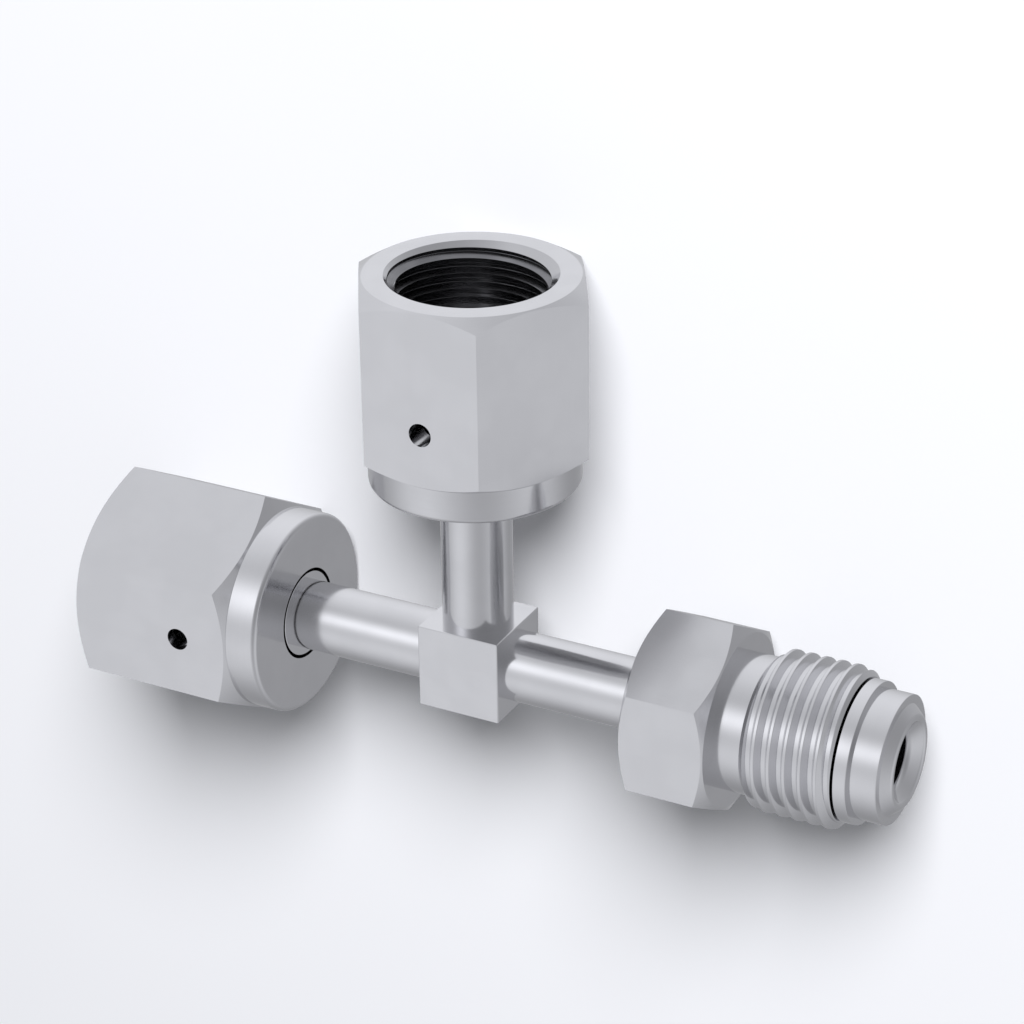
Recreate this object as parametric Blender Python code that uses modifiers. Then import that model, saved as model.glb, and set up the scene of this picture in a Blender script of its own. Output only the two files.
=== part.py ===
"""Union tee for metal gasket face seal joints, in stainless steel.

A cube block carries three round arms. A gland, which is a head with a raised round sealing bead on a hub, is
welded to the end of each arm and holds captive a nut that turns freely on the hub: a female nut on the left
arm of the run and on the branch, and a male nut on the right arm of the run.

The tee lies flat. +X runs along the run to the male nut, +Y along the branch, and +Z up. The origin is the
centre of the block's lower face. Lengths are in metres, written as millimetres times MM.

The pieces on an arm are modelled about their own Z axis, with Z = 0 at the crossing of the bores and Z
growing outwards along the arm. Their X side ends up on top. An empty at the crossing turns them onto the
arm, so the origin of each nut lies on the axis that it turns about.
"""

from math import ceil, cos, radians, sin, sqrt, tan

import bmesh
import bpy
from mathutils import Matrix, Vector

MM = 0.001
INCH = 25.4 * MM

# How finely round shapes are divided, and what counts as an edge
ROUND_STEPS = 42
HOLE_STEPS = 20
BEAD_STEPS = 6
EDGE_STEPS = 2
MERGE_DISTANCE = 0.0001 * MM
SHARP_ANGLE = 28
CUT_MARGIN = 1.0 * MM

# Block and arms
BLOCK_SIDE = 7.94 * MM
BLOCK_EDGE = 0.12 * MM
TUBE_OD = 6.35 * MM
TUBE_WALL = 0.89 * MM

# Clearances between the pieces
HUB_CLEARANCE = 0.20 * MM
HEAD_CLEARANCE = 0.25 * MM
THREAD_CLEARANCE = 0.10 * MM
END_PLAY = 0.30 * MM

# Glands, from the bore outwards
LEAD_IN_ANGLE = 45
BEAD_INSET = 1.765 * MM
BEAD_RADIUS = 0.83 * MM
LAND_MARGIN = 0.80 * MM
LAND_LENGTH = 2.50 * MM
LAND_EDGE = 0.12 * MM
FLANGE_STEP = 0.57 * MM
FLANGE_LENGTH = 1.15 * MM
FLANGE_EDGE = 0.20 * MM
HUB_STEP = 0.825 * MM

# Right-hand thread with a flat root and flat crests, which comes to 9/16-18
THREADS_PER_INCH = 18
THREAD_FLANK_ANGLE = 30
THREAD_ROOT_FLAT = 0.35 * MM
THREAD_CREST_FLAT = 0.26 * MM
LAST_GROOVE = 0.26 * MM

# Both kinds of nut
HEX_CHAMFER_ANGLE = 30
HEX_FACE_STEP = 0.18 * MM

# Female nut, whose hexagon comes to 19.05 mm across flats
FEMALE_REAR = 17.78 * MM
FEMALE_LENGTH = 19.05 * MM
FEMALE_WALL = 2.43 * MM
COLLAR_STEP = 0.225 * MM
COLLAR_LENGTH = 3.02 * MM
COLLAR_EDGE = 0.50 * MM
SHOULDER_LENGTH = 3.85 * MM
RELIEF_DEPTH = 0.80 * MM
RELIEF_BEFORE_HOLE = 1.35 * MM
RELIEF_AFTER_HOLE = 1.05 * MM
ENTRY_STEP = 0.97 * MM
TEST_HOLE_DIAMETER = 2.10 * MM
TEST_HOLE_PAST_FACE = 0.20 * MM

# Male nut, whose hexagon comes to 15.87 mm across flats
MALE_REAR = 17.55 * MM
MALE_HEX_LENGTH = 7.90 * MM
MALE_HEX_STEP = 0.84 * MM
NECK_STEP = 0.30 * MM
NECK_LENGTH = 2.55 * MM
RAMP_LENGTH = 0.85 * MM
MALE_THREAD_LENGTH = 7.40 * MM
THREAD_END_CHAMFER = 0.75 * MM

# Radii worked out from the sizes above
BORE = TUBE_OD / 2 - TUBE_WALL
HUB = TUBE_OD / 2 + HUB_STEP
NUT_BORE = HUB + HUB_CLEARANCE
BEAD_CREST = BORE + BEAD_INSET
LAND = BEAD_CREST + BEAD_RADIUS + LAND_MARGIN
FLANGE = LAND + FLANGE_STEP
CHAMBER = FLANGE + HEAD_CLEARANCE
RELIEF = CHAMBER + RELIEF_DEPTH
THREAD_PITCH = INCH / THREADS_PER_INCH
THREAD_DEPTH = (THREAD_PITCH - THREAD_ROOT_FLAT - THREAD_CREST_FLAT) / 2 / tan(radians(THREAD_FLANK_ANGLE))
THREAD_ROOT = CHAMBER - THREAD_CLEARANCE
THREAD_CREST = THREAD_ROOT + THREAD_DEPTH
NECK = THREAD_ROOT - NECK_STEP
FEMALE_FLAT = THREAD_CREST + FEMALE_WALL
MALE_FLAT = THREAD_CREST + MALE_HEX_STEP

# Places along an arm, counted from the crossing
FEMALE_END = FEMALE_REAR + FEMALE_LENGTH
SHOULDER = FEMALE_REAR + SHOULDER_LENGTH
FEMALE_FLANGE = SHOULDER + END_PLAY
TEST_HOLE = FEMALE_FLANGE + FLANGE_LENGTH + LAND_LENGTH + TEST_HOLE_PAST_FACE
MALE_HEX_FRONT = MALE_REAR + MALE_HEX_LENGTH
NECK_END = MALE_HEX_FRONT + NECK_LENGTH
MALE_END = NECK_END + RAMP_LENGTH + MALE_THREAD_LENGTH
MALE_FLANGE = MALE_END + END_PLAY

UP = Vector((0, 0, 1))
CROSSING = BLOCK_SIDE / 2 * UP

FITTING = "face_seal_tee"
CUTTERS = "cutters"

# Colour and roughness of each finish of the steel
POLISHED_BODY = ((0.72, 0.72, 0.73), 0.16)
POLISHED_GLAND = ((0.74, 0.74, 0.75), 0.10)
MACHINED_NUT = ((0.68, 0.68, 0.69), 0.20)


def clear_scene():
    """Remove what the scene starts with."""
    for item in list(bpy.data.objects):
        bpy.data.objects.remove(item, do_unlink=True)


def add_collection(name):
    """Add a collection to the scene."""
    bpy.context.scene.collection.children.link(bpy.data.collections.new(name))


def add_port(name, direction):
    """Add the empty that stands at the crossing with its Z axis along an arm and its X axis upwards."""
    port = bpy.data.objects.new(name, None)
    port.matrix_world = Matrix((UP, direction.cross(UP), direction)).transposed().to_4x4()
    port.location = CROSSING
    port.empty_display_size = FEMALE_END
    bpy.data.collections[FITTING].objects.link(port)
    return port


def add_object(name, mesh, port, collection):
    """Add a mesh to the scene on a port's axis."""
    piece = bpy.data.objects.new(name, mesh)
    piece.parent = port
    bpy.data.collections[collection].objects.link(piece)
    if collection == CUTTERS:
        piece.hide_render = True
        piece.display_type = "WIRE"
    return piece


def arc(radius, height, bend, start, end, steps):
    """Points of an arc in an outline about (radius, height), from one angle to another, in degrees."""
    angles = [radians(start + (end - start) * step / steps) for step in range(steps + 1)]
    return [(radius + bend * cos(angle), height + bend * sin(angle)) for angle in angles]


def turn(name, outline, port, collection, pitch=0, turns=1):
    """Turn a closed outline of (radius, height) points about the Z axis, as a ring or, with a pitch, a helix.

    The outline runs down its outer side and up its inner side.
    """
    last = len(outline) - 1
    mesh = bpy.data.meshes.new(name)
    edges = [(point, point + 1) for point in range(last)] + [(last, 0)]
    mesh.from_pydata([(radius, 0, height) for radius, height in outline], edges, [])
    piece = add_object(name, mesh, port, collection)
    screw = piece.modifiers.new("Turn", "SCREW")
    screw.steps = ROUND_STEPS
    screw.render_steps = ROUND_STEPS
    screw.screw_offset = pitch
    screw.iterations = turns
    screw.use_merge_vertices = True
    screw.merge_threshold = MERGE_DISTANCE
    return piece


def cube(name, side, port, collection):
    """Make a cube about the crossing."""
    work = bmesh.new()
    bmesh.ops.create_cube(work, size=side)
    mesh = bpy.data.meshes.new(name)
    work.to_mesh(mesh)
    work.free()
    return add_object(name, mesh, port, collection)


def prism(name, radius, bottom, top, sides, port, collection):
    """Make a solid prism or, with many sides, a cylinder about the Z axis."""
    work = bmesh.new()
    bmesh.ops.create_cone(
        work,
        cap_ends=True,
        segments=sides,
        radius1=radius,
        radius2=radius,
        depth=top - bottom,
        matrix=Matrix.Translation(UP * (bottom + top) / 2),
    )
    mesh = bpy.data.meshes.new(name)
    work.to_mesh(mesh)
    work.free()
    return add_object(name, mesh, port, collection)


def combine(piece, tool, operation):
    """Join, cut or trim a piece with a tool: UNION, DIFFERENCE or INTERSECT."""
    boolean = piece.modifiers.new(tool.name, "BOOLEAN")
    boolean.operation = operation
    boolean.object = tool
    boolean.solver = "EXACT"


def settle(piece):
    """Turn a piece's modifiers into its own mesh."""
    evaluated = piece.evaluated_get(bpy.context.evaluated_depsgraph_get())
    mesh = bpy.data.meshes.new_from_object(evaluated)
    piece.modifiers.clear()
    piece.data = mesh
    mesh.name = piece.name


def finish(piece, colour, roughness):
    """Settle a piece, give it its steel and shade it smooth up to its edges."""
    settle(piece)
    steel = bpy.data.materials.new(piece.name + "_steel")
    steel.use_nodes = True
    shader = steel.node_tree.nodes["Principled BSDF"]
    shader.inputs["Base Color"].default_value = (*colour, 1.0)
    shader.inputs["Roughness"].default_value = roughness
    shader.inputs["Metallic"].default_value = 1.0
    piece.data.materials.clear()
    piece.data.materials.append(steel)
    piece.data.shade_smooth()
    piece.data.set_sharp_from_angle(angle=radians(SHARP_ANGLE))


def add_body(run, branch):
    """Make the block with its three arms, bored through along the run and from the branch."""
    body = cube("tee_body", BLOCK_SIDE, run, FITTING)
    bevel = body.modifiers.new("Edges", "BEVEL")
    bevel.width = BLOCK_EDGE
    bevel.segments = 1
    run_arms = prism("run_arms", TUBE_OD / 2, -FEMALE_REAR, MALE_REAR, ROUND_STEPS, run, CUTTERS)
    branch_arm = prism("branch_arm", TUBE_OD / 2, 0, FEMALE_REAR, ROUND_STEPS, branch, CUTTERS)
    left = -FEMALE_REAR - CUT_MARGIN
    run_bore = prism("run_bore", BORE, left, MALE_REAR + CUT_MARGIN, ROUND_STEPS, run, CUTTERS)
    branch_bore = prism("branch_bore", BORE, 0, FEMALE_REAR + CUT_MARGIN, ROUND_STEPS, branch, CUTTERS)
    combine(body, run_arms, "UNION")
    combine(body, branch_arm, "UNION")
    combine(body, run_bore, "DIFFERENCE")
    combine(body, branch_bore, "DIFFERENCE")
    finish(body, *POLISHED_BODY)


def add_gland(name, port, rear, flange_back):
    """Make a gland: a hub on the end of its arm, a flange that holds the nut, a land and a sealing bead."""
    flange_front = flange_back + FLANGE_LENGTH
    face = flange_front + LAND_LENGTH
    bead = arc(BEAD_CREST, face, BEAD_RADIUS, 180 - LEAD_IN_ANGLE, 0, BEAD_STEPS)
    lead_in_radius, lead_in_height = bead[0]
    mouth = lead_in_height - (lead_in_radius - BORE) / tan(radians(LEAD_IN_ANGLE))
    outline = [
        *bead,
        (LAND - LAND_EDGE, face),
        (LAND, face - LAND_EDGE),
        (LAND, flange_front),
        (FLANGE - FLANGE_EDGE, flange_front),
        (FLANGE, flange_front - FLANGE_EDGE),
        (FLANGE, flange_back + FLANGE_EDGE),
        (FLANGE - FLANGE_EDGE, flange_back),
        (HUB, flange_back),
        (HUB, rear),
        (BORE, rear),
        (BORE, mouth),
    ]
    finish(turn(name, outline, port, FITTING), *POLISHED_GLAND)


def corner_radius(flat):
    """Radius of a hexagon's corners, from that of its flats."""
    return flat * 2 / sqrt(3)


def trim_to_hexagon(nut, flat, port, bottom, top):
    """Trim a turned nut to a hexagon with two of its flats across the X axis."""
    name = nut.name + "_hexagon"
    hexagon = prism(name, corner_radius(flat), bottom - CUT_MARGIN, top + CUT_MARGIN, 6, port, CUTTERS)
    combine(nut, hexagon, "INTERSECT")


def add_female_nut(name, port):
    """Make a female nut: a hexagon with a round collar, bored for the gland and the thread, with a test hole.

    The bore is at the tips of the internal thread.
    """
    outside = corner_radius(FEMALE_FLAT) + CUT_MARGIN
    slope = tan(radians(HEX_CHAMFER_ANGLE))
    face = FEMALE_FLAT - HEX_FACE_STEP
    collar = FEMALE_FLAT - COLLAR_STEP
    collar_end = FEMALE_REAR + COLLAR_LENGTH
    relief_start = TEST_HOLE - RELIEF_BEFORE_HOLE
    relief_end = TEST_HOLE + RELIEF_AFTER_HOLE
    outline = [
        (face, FEMALE_END),
        (outside, FEMALE_END - (outside - face) * slope),
        (outside, collar_end + (outside - collar) * slope),
        (collar, collar_end),
        *arc(collar - COLLAR_EDGE, FEMALE_REAR + COLLAR_EDGE, COLLAR_EDGE, 0, -90, EDGE_STEPS),
        (NUT_BORE, FEMALE_REAR),
        (NUT_BORE, SHOULDER),
        (CHAMBER, SHOULDER),
        (CHAMBER, relief_start),
        (RELIEF, relief_start),
        (RELIEF, relief_end),
        (CHAMBER, relief_end + RELIEF_DEPTH),
        (CHAMBER, FEMALE_END - ENTRY_STEP),
        (CHAMBER + ENTRY_STEP, FEMALE_END),
    ]
    nut = turn(name, outline, port, FITTING)
    trim_to_hexagon(nut, FEMALE_FLAT, port, FEMALE_REAR, FEMALE_END)
    hole = prism(name + "_test_hole", TEST_HOLE_DIAMETER / 2, 0, outside, HOLE_STEPS, port, CUTTERS)
    hole.location.z = TEST_HOLE
    hole.rotation_euler.y = radians(90)
    combine(nut, hole, "DIFFERENCE")
    finish(nut, *MACHINED_NUT)


def add_groove(name, port):
    """Make the helix that cuts the external thread, from the neck out past the end of the nut."""
    half_root = THREAD_ROOT_FLAT / 2
    half_mouth = half_root + (THREAD_DEPTH + THREAD_CLEARANCE) * tan(radians(THREAD_FLANK_ANGLE))
    mouth = THREAD_CREST + THREAD_CLEARANCE
    turns = ceil((RAMP_LENGTH + MALE_THREAD_LENGTH) / THREAD_PITCH) + 1
    start = MALE_END - LAST_GROOVE - (turns - 1) * THREAD_PITCH
    outline = [
        (mouth, start + half_mouth),
        (mouth, start - half_mouth),
        (THREAD_ROOT, start - half_root),
        (THREAD_ROOT, start + half_root),
    ]
    groove = turn(name, outline, port, CUTTERS, THREAD_PITCH, turns)
    settle(groove)
    work = bmesh.new()
    work.from_mesh(groove.data)
    bmesh.ops.holes_fill(work, edges=work.edges)
    bmesh.ops.recalc_face_normals(work, faces=work.faces)
    work.to_mesh(groove.data)
    work.free()
    return groove


def add_male_nut(name, port):
    """Make the male nut: a hexagon, a smooth neck and an external thread, bored for the hub of its gland."""
    outside = corner_radius(MALE_FLAT) + CUT_MARGIN
    slope = tan(radians(HEX_CHAMFER_ANGLE))
    face = MALE_FLAT - HEX_FACE_STEP
    outline = [
        (THREAD_CREST - THREAD_END_CHAMFER, MALE_END),
        (THREAD_CREST, MALE_END - THREAD_END_CHAMFER),
        (THREAD_CREST, NECK_END + RAMP_LENGTH),
        (NECK, NECK_END),
        (NECK, MALE_HEX_FRONT),
        (face, MALE_HEX_FRONT),
        (outside, MALE_HEX_FRONT - (outside - face) * slope),
        (outside, MALE_REAR + (outside - face) * slope),
        (face, MALE_REAR),
        (NUT_BORE, MALE_REAR),
        (NUT_BORE, MALE_END),
    ]
    nut = turn(name, outline, port, FITTING)
    trim_to_hexagon(nut, MALE_FLAT, port, MALE_REAR, MALE_END)
    combine(nut, add_groove(name + "_groove", port), "DIFFERENCE")
    finish(nut, *MACHINED_NUT)


clear_scene()
add_collection(FITTING)
add_collection(CUTTERS)

run_left = add_port("run_left_axis", Vector((-1, 0, 0)))
run_right = add_port("run_right_axis", Vector((1, 0, 0)))
branch_up = add_port("branch_axis", Vector((0, 1, 0)))

add_body(run_right, branch_up)
for side, axis in (("run", run_left), ("branch", branch_up)):
    add_gland(side + "_female_gland", axis, FEMALE_REAR, FEMALE_FLANGE)
    add_female_nut(side + "_female_nut", axis)
add_gland("run_male_gland", run_right, MALE_REAR, MALE_FLANGE)
add_male_nut("run_male_nut", run_right)
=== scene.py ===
"""Dress the face seal union tee in its threads, eased edges and steel, and light it in a plain studio.

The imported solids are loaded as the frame, and every piece made here stands in for one of them. Lengths are in
millimetres while a piece is made, and become the frame's metres when it is placed. A piece on an arm is made
about its own Z axis, with Z = 0 at the crossing of the bores and Z growing outwards along the arm. Its X side
ends up on top when the tee lies flat.
"""

import logging
from collections.abc import Callable, Sequence
from dataclasses import dataclass
from enum import Enum
from math import cos, pi, radians, sin, sqrt, tan
from typing import ClassVar

import bmesh
import bpy
from mathutils import Matrix, Vector


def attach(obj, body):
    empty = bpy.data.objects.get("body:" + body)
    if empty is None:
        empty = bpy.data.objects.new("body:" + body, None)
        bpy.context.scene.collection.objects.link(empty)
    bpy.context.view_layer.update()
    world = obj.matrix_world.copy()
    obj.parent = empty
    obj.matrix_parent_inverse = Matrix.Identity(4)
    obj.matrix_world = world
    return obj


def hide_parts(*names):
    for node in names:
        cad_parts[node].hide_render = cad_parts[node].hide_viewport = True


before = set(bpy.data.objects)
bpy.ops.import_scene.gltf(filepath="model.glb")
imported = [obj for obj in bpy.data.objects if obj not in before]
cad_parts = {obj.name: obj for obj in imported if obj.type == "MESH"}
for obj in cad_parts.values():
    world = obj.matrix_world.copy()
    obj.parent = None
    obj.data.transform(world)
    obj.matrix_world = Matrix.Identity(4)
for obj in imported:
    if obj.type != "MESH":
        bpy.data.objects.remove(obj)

LOG = logging.getLogger("face_seal_tee")

MM = 0.001
INCH = 25.4
IMAGE_SIDE = 1024
UP = Vector((0, 0, 1))

# How finely round shapes are divided, and what counts as an edge
ROUND_STEPS = 144
EASE_STEPS = 4
MERGE_DISTANCE = 0.0001
SHARP_ANGLE = 28
CUT_MARGIN = 1.0
PLACE = "arm_place"

# Sizes that several pieces share
AXIS_HEIGHT = 3.97
TUBE_RADIUS = 3.175
BORE_RADIUS = 2.285
HUB_RADIUS = 3.96
NUT_BORE_RADIUS = 4.26
CHAMBER_RADIUS = 6.5
PITCH = INCH / 18
FLANK_ANGLE = 30
HEX_CHAMFER_ANGLE = 30
HEX_FACE_STEP = 0.18
HEX_EDGE = 0.07
HEX_EDGE_ANGLE = 20
THREAD_EDGE = 0.05
THREAD_SINK = 0.2
TURNED_EDGE = 0.06

Point = tuple[float, float]


class Slot(Enum):
    """Material slots of the record, which each piece is handed but doesn't use."""

    BODY = "polished_body"
    GLAND = "polished_gland"
    NUT = "machined_nut"


class Arm(Enum):
    """The arms of the tee, by the direction in which each runs out from the crossing."""

    RUN_LEFT = (-1, 0, 0)
    RUN_RIGHT = (1, 0, 0)
    BRANCH = (0, 1, 0)

    def placing(self) -> Matrix:
        """Give the matrix from the arm's own millimetres to the frame's metres.

        Returns:
            The matrix, which turns Z along the arm and X upwards, and moves the crossing to its place.
        """
        along = Vector(self.value)
        turn = Matrix((UP, along.cross(UP), along)).transposed().to_4x4()
        return Matrix.Translation(UP * AXIS_HEIGHT * MM) @ turn @ Matrix.Scale(MM, 4)


class Tree:
    """A node tree in the making."""

    def __init__(self, tree: bpy.types.NodeTree) -> None:
        """Take the tree and empty it."""
        self.tree = tree
        tree.nodes.clear()

    def add(
        self, kind: str, inputs: dict[str | int, object] | None = None, **settings: object
    ) -> bpy.types.Node:
        """Add a node.

        Args:
            kind: Type of the node.
            inputs: Value or output socket for each input, by name or number.
            settings: Properties of the node.

        Returns:
            The new node.
        """
        node = self.tree.nodes.new(kind)
        for name, value in settings.items():
            setattr(node, name, value)
        for key, value in (inputs or {}).items():
            if isinstance(value, bpy.types.NodeSocket):
                self.tree.links.new(value, node.inputs[key])
            else:
                node.inputs[key].default_value = value
        return node

    def math(self, operation: str, *values: object) -> bpy.types.NodeSocket:
        """Add a sum on up to three values.

        Args:
            operation: Name of the operation.
            values: Numbers or output sockets.

        Returns:
            The result's socket.
        """
        return self.add("ShaderNodeMath", dict(enumerate(values)), operation=operation).outputs[0]

    def blend(self, factor: object, low: object, high: object) -> bpy.types.NodeSocket:
        """Blend two numbers.

        Args:
            factor: Share of the second number.
            low: First number or socket.
            high: Second number or socket.

        Returns:
            The result's socket.
        """
        node = self.add("ShaderNodeMix", {0: factor, 2: low, 3: high}, data_type="FLOAT")
        return node.outputs[0]

    def blend_colour(self, factor: object, low: object, high: object) -> bpy.types.NodeSocket:
        """Blend two colours.

        Args:
            factor: Share of the second colour.
            low: First colour or socket.
            high: Second colour or socket.

        Returns:
            The result's socket.
        """
        node = self.add("ShaderNodeMix", {0: factor, 6: low, 7: high}, data_type="RGBA")
        return node.outputs[2]


def group_tree(name: str, kind: str, inputs: dict[str, str], outputs: dict[str, str]) -> Tree:
    """Start a node group with named sockets.

    Args:
        name: Name of the group.
        kind: Type of the tree.
        inputs: Socket type for each input's name.
        outputs: Socket type for each output's name.

    Returns:
        The empty tree.
    """
    tree = bpy.data.node_groups.new(name, kind)
    for direction, sockets in (("INPUT", inputs), ("OUTPUT", outputs)):
        for socket, socket_type in sockets.items():
            tree.interface.new_socket(socket, in_out=direction, socket_type=socket_type)
    return Tree(tree)


class SurfaceEffects:
    """Shader groups for what machining and handling leave on steel."""

    @staticmethod
    def turning_marks() -> bpy.types.NodeTree:
        """Build the group for the fine rings that turning leaves about an arm's axis.

        Returns:
            The group, with the place on the arm and the rings' spacing as inputs.
        """
        name = "turning_marks"
        if name in bpy.data.node_groups:
            return bpy.data.node_groups[name]
        inputs = {"Place": "NodeSocketVector", "Spacing": "NodeSocketFloat"}
        tree = group_tree(name, "ShaderNodeTree", inputs, {"Rings": "NodeSocketFloat"})
        entry = tree.add("NodeGroupInput").outputs
        axes = tree.add("ShaderNodeSeparateXYZ", {0: entry["Place"]}).outputs
        across = tree.add("ShaderNodeCombineXYZ", {0: axes[0], 1: axes[1]}).outputs[0]
        radius = tree.add("ShaderNodeVectorMath", {0: across}, operation="LENGTH").outputs["Value"]
        section = tree.add("ShaderNodeCombineXYZ", {0: radius, 1: axes[2]}).outputs[0]
        frequency = tree.math("DIVIDE", 1.0, entry["Spacing"])
        rings = tree.add(
            "ShaderNodeTexNoise",
            {"Vector": section, "Scale": frequency, "Detail": 3.0, "Roughness": 0.6},
            noise_dimensions="2D",
        ).outputs[0]
        tree.add("NodeGroupOutput", {"Rings": rings})
        return tree.tree

    @staticmethod
    def drawn_grain() -> bpy.types.NodeTree:
        """Build the group for the faint lines that drawing leaves along a bar or a tube.

        Returns:
            The group, with the place on the arm, the lines' width and their length as inputs.
        """
        name = "drawn_grain"
        if name in bpy.data.node_groups:
            return bpy.data.node_groups[name]
        inputs = {"Place": "NodeSocketVector", "Width": "NodeSocketFloat", "Length": "NodeSocketFloat"}
        tree = group_tree(name, "ShaderNodeTree", inputs, {"Lines": "NodeSocketFloat"})
        entry = tree.add("NodeGroupInput").outputs
        size = tree.add("ShaderNodeCombineXYZ", {0: entry["Width"], 1: entry["Width"], 2: entry["Length"]})
        scaled = tree.add("ShaderNodeVectorMath", {0: entry["Place"], 1: size.outputs[0]}, operation="DIVIDE")
        lines = tree.add(
            "ShaderNodeTexNoise",
            {"Vector": scaled.outputs[0], "Scale": 1.0, "Detail": 2.0, "Roughness": 0.5},
        ).outputs[0]
        tree.add("NodeGroupOutput", {"Lines": lines})
        return tree.tree

    @staticmethod
    def soft_patches() -> bpy.types.NodeTree:
        """Build the group for the broad, faint patches that polishing and handling leave.

        Returns:
            The group, with the place on the arm and the patches' size as inputs.
        """
        name = "soft_patches"
        if name in bpy.data.node_groups:
            return bpy.data.node_groups[name]
        inputs = {"Place": "NodeSocketVector", "Size": "NodeSocketFloat"}
        tree = group_tree(name, "ShaderNodeTree", inputs, {"Patches": "NodeSocketFloat"})
        entry = tree.add("NodeGroupInput").outputs
        frequency = tree.math("DIVIDE", 1.0, entry["Size"])
        noise = tree.add("ShaderNodeTexNoise", {"Vector": entry["Place"], "Scale": frequency, "Detail": 2.0})
        limits = {0: noise.outputs[0], 1: 0.35, 2: 0.65}
        clear = tree.add("ShaderNodeMapRange", limits, interpolation_type="SMOOTHSTEP")
        tree.add("NodeGroupOutput", {"Patches": clear.outputs[0]})
        return tree.tree


@dataclass(frozen=True)
class Steel:
    """A finish of the stainless steel.

    Attributes:
        name: Name of the material.
        colour: What the clean metal reflects.
        shade: What it reflects where it is a little duller.
        roughness: Lowest and highest roughness.
        ring_depth: Depth of the marks of turning, in millimetres.
        line_depth: Depth of the lines of drawing, in millimetres.
        ring_spacing: Distance between the marks of turning.
        line_width: Width of the lines of drawing.
        line_length: Length of the lines of drawing.
        patch_size: Size of the patches.
    """

    name: str
    colour: tuple[float, float, float]
    shade: tuple[float, float, float]
    roughness: tuple[float, float]
    ring_depth: float = 0.0
    line_depth: float = 0.0
    ring_spacing: float = 0.12
    line_width: float = 0.10
    line_length: float = 5.0
    patch_size: float = 4.0

    def group(
        self, tree: Tree, effect: bpy.types.NodeTree, place: object, **values: float
    ) -> bpy.types.NodeSocket:
        """Place a surface effect in the material.

        Args:
            tree: The material's tree.
            effect: The effect's group.
            place: Socket of the place on the arm.
            values: Value for each of the group's sizes.

        Returns:
            The effect's socket.
        """
        node = tree.add("ShaderNodeGroup", node_tree=effect)
        tree.tree.links.new(place, node.inputs["Place"])
        for name, value in values.items():
            node.inputs[name].default_value = value
        return node.outputs[0]

    def material(self) -> bpy.types.Material:
        """Build the material, or find it if it is there.

        Returns:
            The material.
        """
        if self.name in bpy.data.materials:
            return bpy.data.materials[self.name]
        material = bpy.data.materials.new(self.name)
        material.use_nodes = True
        tree = Tree(material.node_tree)
        place = tree.add("ShaderNodeAttribute", attribute_name=PLACE).outputs["Vector"]
        rings = self.group(tree, SurfaceEffects.turning_marks(), place, Spacing=self.ring_spacing)
        lines = self.group(
            tree, SurfaceEffects.drawn_grain(), place, Width=self.line_width, Length=self.line_length
        )
        patches = self.group(tree, SurfaceEffects.soft_patches(), place, Size=self.patch_size)
        depth = tree.math("ADD", tree.math("MULTIPLY", rings, self.ring_depth),
                          tree.math("MULTIPLY", lines, self.line_depth))
        bump = tree.add("ShaderNodeBump", {"Strength": 1.0, "Distance": MM, "Height": depth})
        marks = lines if self.line_depth > self.ring_depth else rings
        worn = tree.blend(0.5, patches, marks)
        roughness = tree.blend(worn, *self.roughness)
        colour = tree.blend_colour(worn, (*self.colour, 1.0), (*self.shade, 1.0))
        shader = tree.add(
            "ShaderNodeBsdfPrincipled",
            {"Base Color": colour, "Metallic": 1.0, "Roughness": roughness, "Normal": bump.outputs[0]},
        )
        tree.add("ShaderNodeOutputMaterial", {0: shader.outputs[0]})
        return material


POLISHED_BODY = Steel(
    "polished_body_steel", (0.70, 0.70, 0.715), (0.66, 0.66, 0.675), (0.13, 0.19), line_depth=0.0002
)
POLISHED_GLAND = Steel(
    "polished_gland_steel", (0.70, 0.70, 0.715), (0.67, 0.67, 0.685), (0.09, 0.15), ring_depth=0.00015
)
TURNED_NUT = Steel(
    "turned_nut_steel", (0.69, 0.69, 0.705), (0.65, 0.65, 0.665), (0.11, 0.18), ring_depth=0.00025
)
DRAWN_FLATS = Steel(
    "drawn_flats_steel", (0.69, 0.69, 0.705), (0.66, 0.66, 0.675), (0.14, 0.22), line_depth=0.0002
)
# Painted shade: the steel inside the bores is darkened so that the bores look dark
BORE_SHADE_STEEL = Steel(
    "bored_inside_steel", (0.30, 0.30, 0.31), (0.20, 0.20, 0.21), (0.18, 0.30), ring_depth=0.0006
)


@dataclass(frozen=True)
class Corner:
    """A corner of an outline that is turned about an axis.

    Attributes:
        radius: Distance from the axis.
        height: Place along the axis.
        ease: Radius to which the corner is rounded.
        bored: Whether the surface from this corner to the next is inside a bore, where it takes the steel
            darkened as painted shade.
    """

    radius: float
    height: float
    ease: float = 0.0
    bored: bool = False


def arc(radius: float, height: float, bend: float, start: float, end: float, steps: int) -> list[Corner]:
    """Divide an arc of an outline.

    Args:
        radius: Radius of the arc's centre about the axis.
        height: Height of the arc's centre.
        bend: The arc's own radius.
        start: Angle at which it starts, in degrees.
        end: Angle at which it ends, in degrees.
        steps: Number of steps.

    Returns:
        The arc's points as corners.
    """
    angles = [radians(start + (end - start) * step / steps) for step in range(steps + 1)]
    return [Corner(radius + bend * cos(angle), height + bend * sin(angle)) for angle in angles]


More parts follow.
